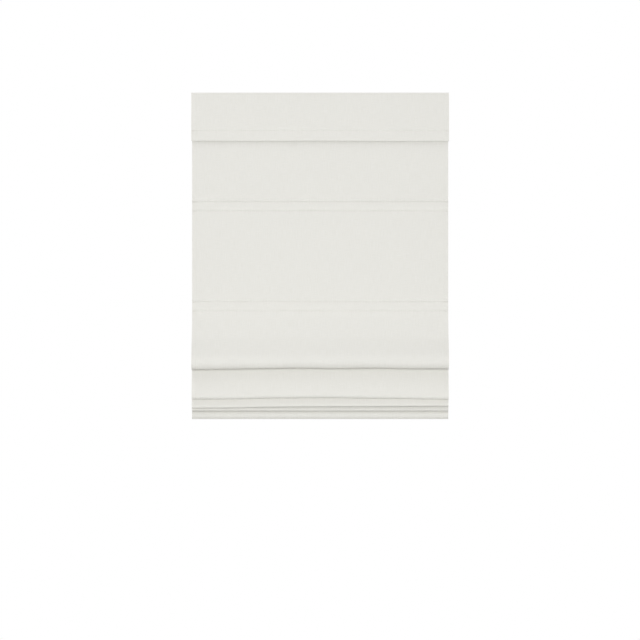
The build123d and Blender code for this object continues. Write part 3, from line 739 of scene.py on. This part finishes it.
def pocket_surface(line, along):
    """The function that gives the middle of a strip with this side view, a little uneven behind its rod."""
    def surface_at(x, s):
        forward = np.interp(s, along, line[:, 0])
        level = np.interp(s, along, line[:, 1])
        sway = 0.12 * MM * ripple(x, (0.05, 0.023, 0.11), 5) * np.exp(-((forward / MM + 3.5) / 2) ** 2)
        return x + 0 * level, Y_CLOTH - forward - sway, level + 0 * x
    return surface_at


# name, rod, the gap whose panel a half is sewn to, and the side view
strips = []
for n, way in ((1, 1), (1, -1), (2, 1), (2, -1)):
    word, gap = ("upper", n) if way > 0 else ("lower", n + 1)
    strips.append((f"pocket_{n}_{word}", n, gap, flat_strip(ROD_LEVELS[n - 1] / MM, way)))
strips += [
    ("pocket_3", 3, None, folded_strip(5, s3 - 3.2, 1.8, s3)),
    ("pocket_4", 4, None, folded_strip(4.4, s4 - 1.3, 2.8, s4)),
    ("pocket_5", 5, None, folded_strip(4.2, s5 - 1.3, 2.4, s5)),
    ("pocket_6", 6, None, folded_strip(2.7, s6 - 2, 0, s6)),
]
for name, rod, gap, corners in strips:
    line, along = rounded(corners)[:2]
    surface_at = pocket_surface(line, along)
    s = rows_between(0, along[-1], along, [])
    piece = sewn_cloth(name, surface_at, s, columns(HALF_POCKET), STRIP / 2, STRIP / 2, [lining])
    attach(piece, f"rod_{rod}")
    if gap in (1, 2):
        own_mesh(piece)
    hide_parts("shade_cloth")


# Rods, tips and rings
# Six rods of pultruded glass fibre, faintly green-grey with fibres along them, with a soft vinyl tip
# pushed on each end. Two clear nylon rings are sewn behind each rod with a few turns of thread.

glass_fibre, tree, surface = new_material("glass_fibre_rod", base_color=colour("#DAD9C9"), ior=1.52,
                                          coat_weight=0.3, coat_roughness=0.15)
fibres = grain(tree, (60, 1, 1), 0.18 * MM)
wear(tree, surface, fibres.outputs[0], 0.3, 0.45, 0.3, 0.02 * MM)
vinyl, tree, surface = new_material("soft_vinyl", base_color=colour("#E3E2DB"), ior=1.53)
skin = grain(tree, (1, 1, 1), 0.8 * MM)
wear(tree, surface, skin.outputs[0], 0.5, 0.62, 0.2, 0.03 * MM)
clear_nylon, tree, surface = new_material("clear_nylon", base_color=colour("#EEF0EC"), ior=1.53,
                                          transmission_weight=0.55)
cast = grain(tree, (1, 1, 1), 1.0 * MM)
wear(tree, surface, cast.outputs[0], 0.12, 0.2, 0.1, 0.02 * MM)

# five turns of thread round each ring's wire, where it lies against the pocket
TURNS = 5
TURN_PITCH = 0.42 * MM
RING_THREAD = 0.34 * MM
WIRE_Y = -20.15 * MM
WRAP_DEEP, WRAP_HIGH = 1.3 * MM, 1.12 * MM

for n, level in enumerate(ROD_LEVELS, 1):
    dress(glass_fibre, "glass_fibre_rod", f"rod_{n}")
    dress(vinyl, "vinyl_tip", f"rod_tips_{n}")
    dress(clear_nylon, "clear_ring", f"rings_{n}")
    loops = []
    for side in (-1, 1):
        for k in range(TURNS):
            spot = side * CORD_SIDE + (k - TURNS // 2) * TURN_PITCH
            wrap = [(spot + 0.1 * MM * sin(t), WIRE_Y + WRAP_DEEP * cos(t), level + WRAP_HIGH * sin(t))
                    for t in np.linspace(0, 2 * pi, 16, endpoint=False)]
            loops.append((wrap, True))
    sewing = grow(f"ring_thread_{n}", twine, loops, Diameter=RING_THREAD, Sides=6, Material=thread)
    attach(sewing, f"rod_{n}")


# Cord stops, bottom bar and its caps
# Each cord ends in a knot inside a clear moulded bead under the lowest ring. The bar in the hem is a flat
# strip of zinc-plated steel that keeps the cloth straight, with a moulded cap over each end.

dress(clear_nylon, "clear_ring", "cord_stops")
dress(zinc_plate, "zinc_plated_steel", "bottom_bar")
dress(white_abs, "white_moulding", "bottom_bar_caps")


# Valance
# A flap of the same cloth over the rail, sewn to the top of the shade and hemmed along its foot and at its
# sides. It stands a few millimetres off the shade, on which it throws a soft shadow.

VALANCE_HALF = 344 * MM
VALANCE_OUT, VALANCE_TOP = 0.8, -0.4  # in mm, its top edge from the shade's middle and from the ceiling
VALANCE_FOOT = -130 + 0.4
valance_corners = [(VALANCE_OUT, VALANCE_TOP, None), (VALANCE_OUT, -20, 60), (6.6, VALANCE_FOOT, 0.46),
                   (5.66, VALANCE_FOOT, 0.46), (4.0, VALANCE_FOOT + 30, None)]
valance_line, valance_along, valance_at = rounded(valance_corners)
going_down = slice(len(valance_line) // 2)
valance_seam = np.interp(-(VALANCE_FOOT + 26.8) * MM, -valance_line[going_down, 1],
                         valance_along[going_down])
valance_foot_at = (valance_at[2] + valance_at[3]) / 2


def valance_surface(x, s):
    """The flap's middle at x across and s along it, as shade_surface gives the shade's."""
    forward = np.interp(s, valance_along, valance_line[:, 0])
    level = np.interp(s, valance_along, valance_line[:, 1])
    hang = np.clip((-level - 30 * MM) / (100 * MM), 0, 1)
    sway = 0.5 * MM * hang * ripple(x, (0.41, 0.23, 0.13), 21)
    front = s < valance_foot_at
    near = np.where(front, s, 2 * valance_foot_at - s) - valance_seam
    uneven = 1 + 0.5 * ripple(x, (0.19, 0.071, 0.031), 31)
    swelling = 0.7 * MM * np.exp(-((near + 4.5 * MM) / (3.6 * MM)) ** 2)
    ditch = (swelling - 0.25 * MM * np.exp(-(near / (1.1 * MM)) ** 2)) * uneven
    pucker = 0.06 * MM * ripple(x, (0.0112, 0.0081, 0.0152), 32) * np.exp(-np.abs(near) / (6 * MM))
    moved = sway + np.where(level < -60 * MM, ditch + pucker, 0)
    uneven_foot = 0.5 * MM * hang * ripple(x, (0.9, 0.37), 22)
    return x + 0 * moved, Y_CLOTH - forward - moved, level + uneven_foot + 0 * x


x = columns(VALANCE_HALF)
s = rows_between(0, valance_along[-1], valance_along, [valance_seam, 2 * valance_foot_at - valance_seam])
valance = sewn_cloth("valance", valance_surface, s, x, THICK / 2, THICK / 2, [face_cloth])
# down both sides, along the hem, and along the top edge where it is sewn to the shade
lines = [side_seam(valance_surface, at, 4 * MM, valance_foot_at - 3 * MM) for at in (-SIDE_SEAM, SIDE_SEAM)]
lines += [cross_seam(valance_surface, at, VALANCE_HALF) for at in (valance_seam, 5 * MM)]
valance_sewn = sew("valance", lines, 5)
valance_tacks = tack("valance", valance_surface, [valance_seam], VALANCE_HALF)
# the flap and its stitches hang from the rail, each with a mesh of its own
for made in (valance, valance_sewn, valance_tacks):
    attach(made, "headrail")
    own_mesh(made)
    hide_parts("valance_cloth")


# Room for the picture
# A plain pale floor well below the blind. A large soft light in front, one high up, a weak one low down and
# one behind for the back. The camera looks straight on through a long lens, level with the stack's top.

FLOOR = -1.95
FLOOR_RADIUS = 3.2
floor_colour, tree, surface = new_material("studio_floor", base_color=colour("#E4E4E2"), roughness=0.9)
mottle = grain(tree, (1, 1, 1), 60 * MM)
wear(tree, surface, mottle.outputs[0], 0.85, 0.95, 0.1, 0.5 * MM)
disc = bpy.data.meshes.new("studio_floor")
edge = [(FLOOR_RADIUS * cos(t), FLOOR_RADIUS * sin(t), FLOOR)
        for t in np.linspace(0, 2 * pi, 96, endpoint=False)]
disc.from_pydata(edge, [], [list(range(len(edge)))])
disc.materials.append(floor_colour)
ground = bpy.data.objects.new("studio_floor", disc)
bpy.context.collection.objects.link(ground)

world = bpy.data.worlds.new("studio")
world.use_nodes = True
bpy.context.scene.world = world
tree = world.node_tree
seen = add_node(tree, "ShaderNodeLightPath")
straight = add_node(tree, "ShaderNodeMath",
                    {0: seen.outputs["Is Camera Ray"], 1: seen.outputs["Is Glossy Ray"]},
                    operation="MAXIMUM")
behind = add_node(tree, "ShaderNodeMath",
                  {0: straight.outputs[0], 1: seen.outputs["Is Transmission Ray"]}, operation="MAXIMUM")
# white to the camera, in metal and through clear plastic, and a soft grey light on everything else
level = add_node(tree, "ShaderNodeMapRange", {"Value": behind.outputs[0], "To Min": 0.37, "To Max": 1.0})
tree.links.new(level.outputs[0], tree.nodes["Background"].inputs["Strength"])
tree.nodes["Background"].inputs["Color"].default_value = (1, 1, 1, 1)


def soft_box(name, place, target, size, power):
    """A square lamp, turned to its target and not seen itself."""
    lamp = bpy.data.lights.new(name, "AREA")
    lamp.shape = "SQUARE"
    lamp.size = size
    lamp.energy = power
    made = bpy.data.objects.new(name, lamp)
    made.location = place
    made.rotation_euler = (Vector(target) - Vector(place)).to_track_quat("-Z", "Y").to_euler()
    made.visible_camera = False
    bpy.context.collection.objects.link(made)


middle = (0, -0.03, -0.45)
soft_box("key_light", (-0.9, -6.0, 0.2), middle, 1.6, 139)
soft_box("top_light", (-0.6, -2.2, 3.6), middle, 3.0, 44)
soft_box("low_light", (0.4, -2.4, -1.75), middle, 1.2, 13)
soft_box("rear_light", (1.2, 5.0, 1.2), middle, 1.6, 90)

# the picture is 640 pixels across, 2.67 mm each where the cloth hangs
PICTURE = 640
PIXEL = 2.67 * MM
TOP_ROW = 92.5  # where the ceiling's plane lies in it
ASIDE = -0.15  # pixels from the middle of the blind to the middle of the picture
DISTANCE = 9.0
camera = bpy.data.cameras.new("camera")
camera.sensor_width = 36
camera.lens = camera.sensor_width * DISTANCE / (PICTURE * PIXEL)
camera.clip_end = 60
eye = bpy.data.objects.new("camera", camera)
eye.location = (ASIDE * PIXEL, Y_CLOTH - DISTANCE, -(PICTURE / 2 - TOP_ROW) * PIXEL)
eye.rotation_euler = (pi / 2, 0, 0)
bpy.context.collection.objects.link(eye)
bpy.context.scene.camera = eye
bpy.context.scene.view_settings.view_transform = "Standard"
